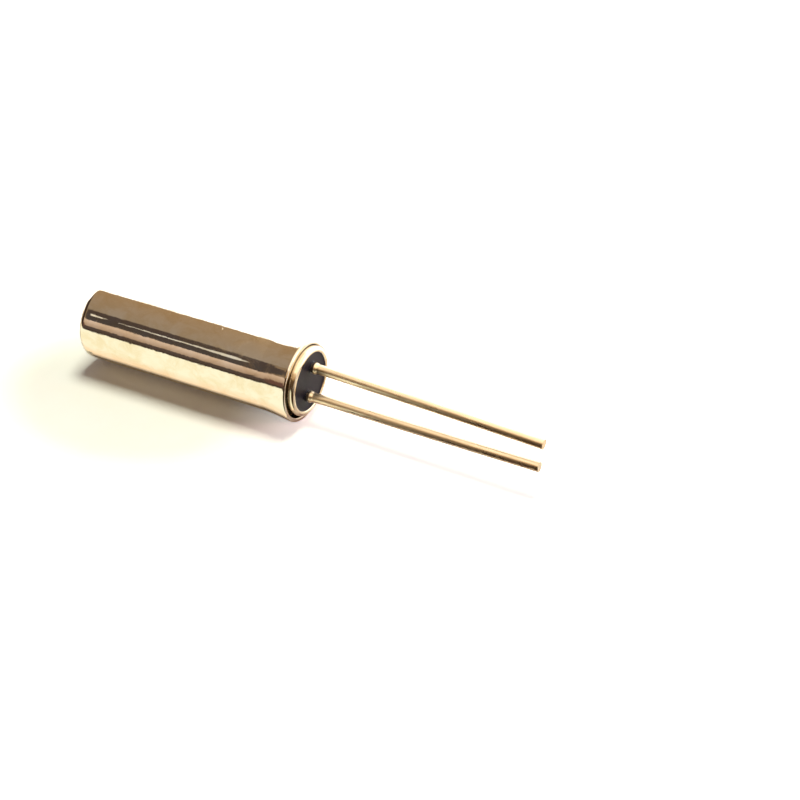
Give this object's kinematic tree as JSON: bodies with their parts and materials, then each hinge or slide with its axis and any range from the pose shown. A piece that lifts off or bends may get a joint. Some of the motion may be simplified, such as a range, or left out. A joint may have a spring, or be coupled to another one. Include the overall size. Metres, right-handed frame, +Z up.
{
  "type": "cylindrical tuning-fork quartz crystal",
  "caption": "Small quartz timing crystal: a drawn cylindrical metal can with a flared lip, closed by a glass-sealed header with two straight wire leads.",
  "frame": {"origin": "on the surface that the part lies on, under the middle of its whole length", "axes": "+X runs along the can towards the tips of the leads, +Z is up; the part lies on its side"},
  "size_m": [0.012, 0.002, 0.0021],
  "materials": {
    "drawn_can": "bright nickel plate on drawn nickel silver, mirror-like with faint drawing marks",
    "header_metal": "bright plated ring with a soft sheen",
    "seal_glass": "opaque blue-black sealing glass, smooth from the melt",
    "tinned_wire": "tinned nickel-iron wire, satin with fine drawing lines along it",
    "quartz": "etched quartz blank, clear with thin metal electrodes",
    "solder": "frozen solder, dull grey"
  },
  "bodies": {
    "root": {"can": "drawn_can", "header_ring": "header_metal", "glass_seal": "seal_glass", "lead_1": "tinned_wire", "lead_2": "tinned_wire", "tuning_fork": "quartz", "solder_joint_1": "solder", "solder_joint_2": "solder"}
  },
  "joints": []
}
